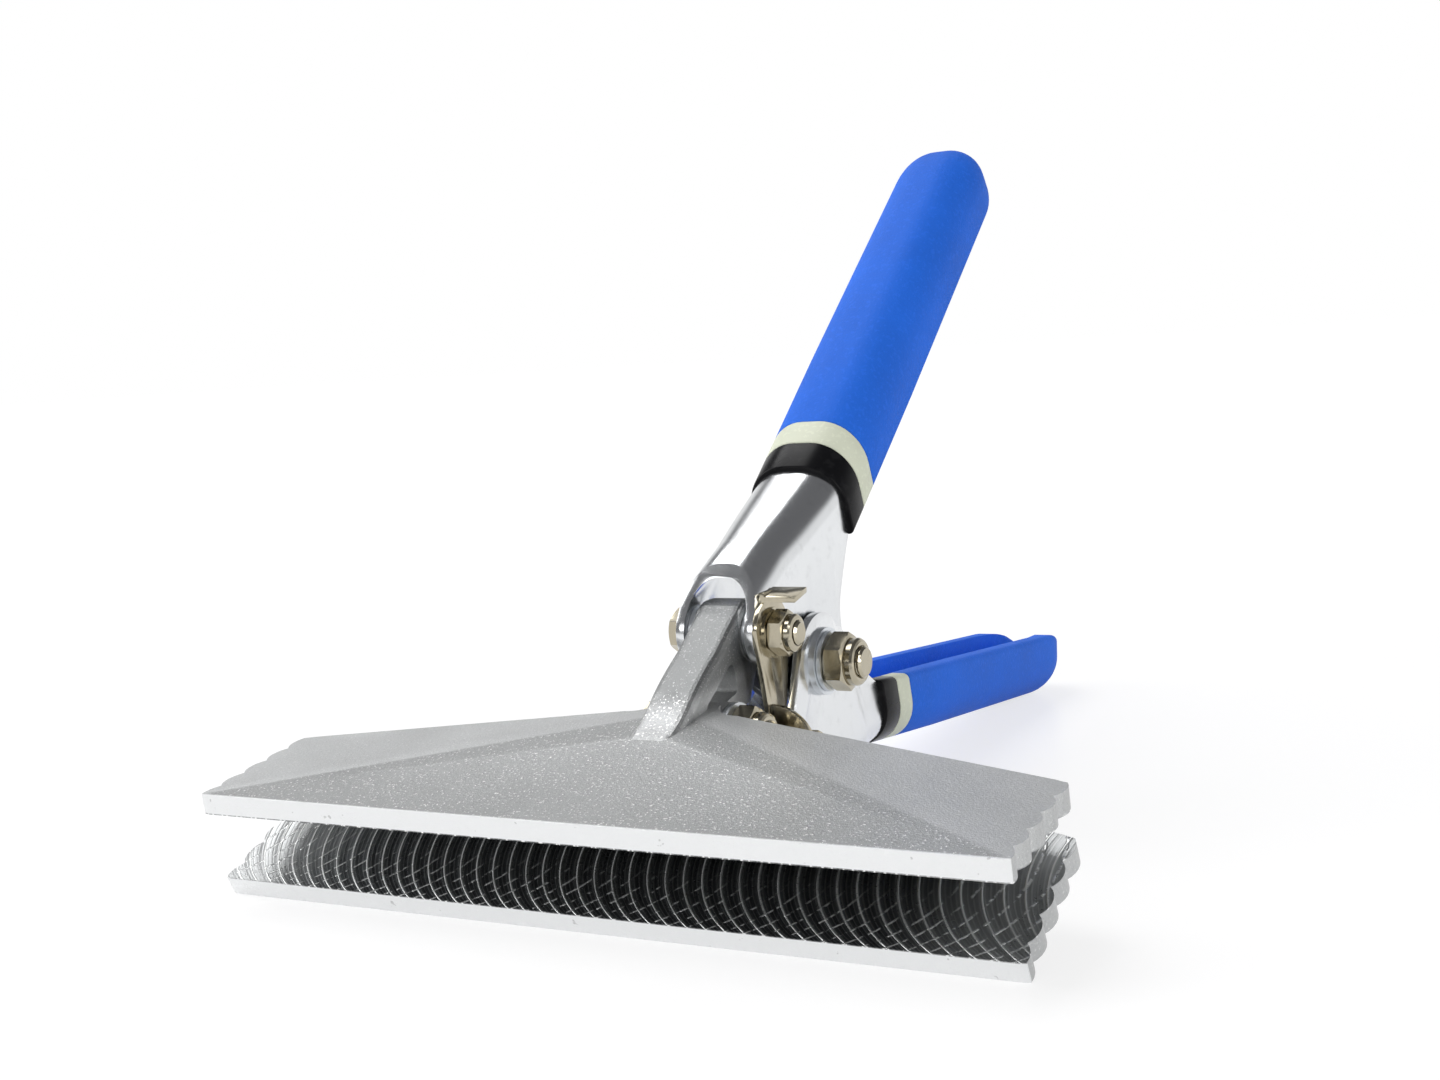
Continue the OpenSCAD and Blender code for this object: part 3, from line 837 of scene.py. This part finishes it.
whole_grip = grip_form("whole_grip")
GRIP_PARTS = (("collar", 0, COLLAR_LENGTH, "black_collar", black),
              ("band", COLLAR_LENGTH, BAND_END, "cream_band", cream),
              ("sleeve", BAND_END, None, "blue_sleeve", blue))
for where, place in (("upper", Matrix.Identity(4)), ("lower", MIRRORED)):
    for part, s0, s1, slot, material in GRIP_PARTS:
        piece = grip_length(whole_grip, f"{where}_{part}", s0, s1)
        eased(piece, 0.5, 3, 40)
        fitted(settled(piece, place @ GRIP_PLACE, 34), f"{where}_grip_{part}", material)
bpy.data.objects.remove(whole_grip)

# where, centre, size, under the bolt's head, under the nut, the bolt's end
M6 = (LINK_R, 10, 4, 6)
M8 = (PIVOT_R, 13, 5.3, 8)
SETS = (("jaw_pivot", Vector((0, 0)), M8, -9.7, 9.7, 18.9),
        ("upper_link", LINK, M6, -10.6, 12.6, 19.4),
        ("lower_link", LOWER_LINK, M6, -14.2, 14.2, 21.0),
        ("handle_pivot", HEEL, M8, -15.7, 17.0, 26.2))
for where, centre, (r, flats, head, height), head_x, nut_x, end_x in SETS:
    fitted(settled(hex_bolt(f"{where}_screw", centre, r, flats, head, head_x, end_x)),
           f"{where}_bolt", nickel)
    fitted(settled(lock_nut(f"{where}_locknut", centre, r, flats, height, nut_x)),
           f"{where}_nut", nickel)

latch_turn = Matrix.Translation((0, LINK.x, LINK.y)) @ Matrix.Rotation(math.radians(-15.5), 4, "X")
fitted(settled(latch_plate("lock_latch"), latch_turn), "latch", nickel)
fitted(settled(torsion_spring("return_spring"), smooth=40),
       "opening_spring", wire_steel)

# plain rings that stay as the solids have them
RINGS = (("jaw_pivot_washer", zinc), ("upper_link_washer", zinc), ("latch_washer", nickel),
         ("lower_link_spacer", zinc), ("handle_pivot_washer", zinc), ("spring_bush", zinc),
         ("jaw_pivot_lock_ring", nylon), ("upper_link_lock_ring", nylon),
         ("lower_link_lock_ring", nylon), ("handle_pivot_lock_ring", nylon))
for node, material in RINGS:
    mesh = frame["nodes"][node].data
    if not mesh.materials:
        mesh.materials.append(material)
    for i in range(len(mesh.materials)):
        mesh.materials[i] = material

# ---- floor, light and camera ----
hands_off()
bpy.ops.mesh.primitive_plane_add(size=40, location=(0, 0, 0))
floor = called("white_floor")
paper = Finish("white_paper")
paper.set(Base_Color=(0.95, 0.95, 0.955), Roughness=0.3, Specular_IOR_Level=0.4)
seen = (paper.node("LightPath", out="Is Camera Ray") + paper.node("LightPath", out="Is Glossy Ray")
        + paper.node("LightPath", out="Is Transmission Ray"))
seen = seen.math("MINIMUM", seen, 1.0)
away = paper.node("VectorMath", out=1, settings={"operation": "LENGTH"}, _0=paper.place)
far = paper.step(away, 0.22, 0.6)
lit = paper.node("MixShader", _0=seen * (0.68 + far * 0.32),
                 _1=Wire(paper, paper.shader.outputs[0]),
                 _2=paper.node("Emission", Color=(1, 1, 1, 1), Strength=1.06))
paper.feed(paper.nodes["Material Output"].inputs[0], lit)
floor.data.materials.append(paper.material)

# the room: a white sweep behind the tool, dimmer towards the front, a soft ceiling
studio = Finish("studio", world=True)
bpy.context.scene.world = studio.material
_, back, up = studio.axes(studio.place)
greys = ((0.0, 0.08), (0.25, 0.13), (0.42, 0.45), (0.56, 0.88), (1.0, 0.92))
sweep = studio.ramp(back * 0.5 + 0.5, *((at, (grey,) * 3) for at, grey in greys))
room = studio.blend(studio.step(up, 0.22, 0.52), sweep, (0.14, 0.14, 0.145))
to_camera = studio.node("LightPath", out="Is Camera Ray")
studio.set(Color=studio.blend(to_camera, room, (1, 1, 1)), Strength=1.0)


def softbox(name, spot, target, wide, high, power):
    """a rectangular lamp at spot, facing target; metres and watts"""
    lamp = bpy.data.lights.new(name, "AREA")
    lamp.shape = "RECTANGLE"
    lamp.size = wide
    lamp.size_y = high
    lamp.energy = power
    obj = bpy.data.objects.new(name, lamp)
    bpy.context.scene.collection.objects.link(obj)
    obj.location = spot
    obj.rotation_euler = (Vector(target) - Vector(spot)).to_track_quat("-Z", "Y").to_euler()


softbox("top_light", (-0.84, 0.08, 1.6), (0, 0, 0.05), 1.4, 1.1, 20.0)
softbox("back_light", (-0.5, 0.98, 1.05), (0, 0, 0.03), 0.9, 0.6, 1.6)
softbox("left_light", (-0.95, -0.3, 0.45), (0, 0, 0.06), 0.5, 0.7, 4.5)
softbox("right_light", (0.95, -0.35, 0.4), (0, 0, 0.06), 0.35, 0.6, 4.5)
softbox("front_light", (-0.15, -1.1, 0.4), (0, -0.1, 0.03), 0.9, 0.25, 3.8)

lens = bpy.data.cameras.new("studio_camera")
lens.sensor_width = 36
lens.lens = 46.62
lens.clip_start = 0.01
camera = bpy.data.objects.new("studio_camera", lens)
bpy.context.scene.collection.objects.link(camera)
turn, rise, roll = (math.radians(a) for a in (29.162, 84.23, -3.653))
camera.matrix_world = (Matrix.Translation((0.21892, -0.46064, 0.12147))
                       @ Matrix.Rotation(turn, 4, "Z") @ Matrix.Rotation(rise, 4, "X")
                       @ Matrix.Rotation(roll, 4, "Z"))
bpy.context.scene.camera = camera
bpy.context.scene.view_settings.view_transform = "Standard"
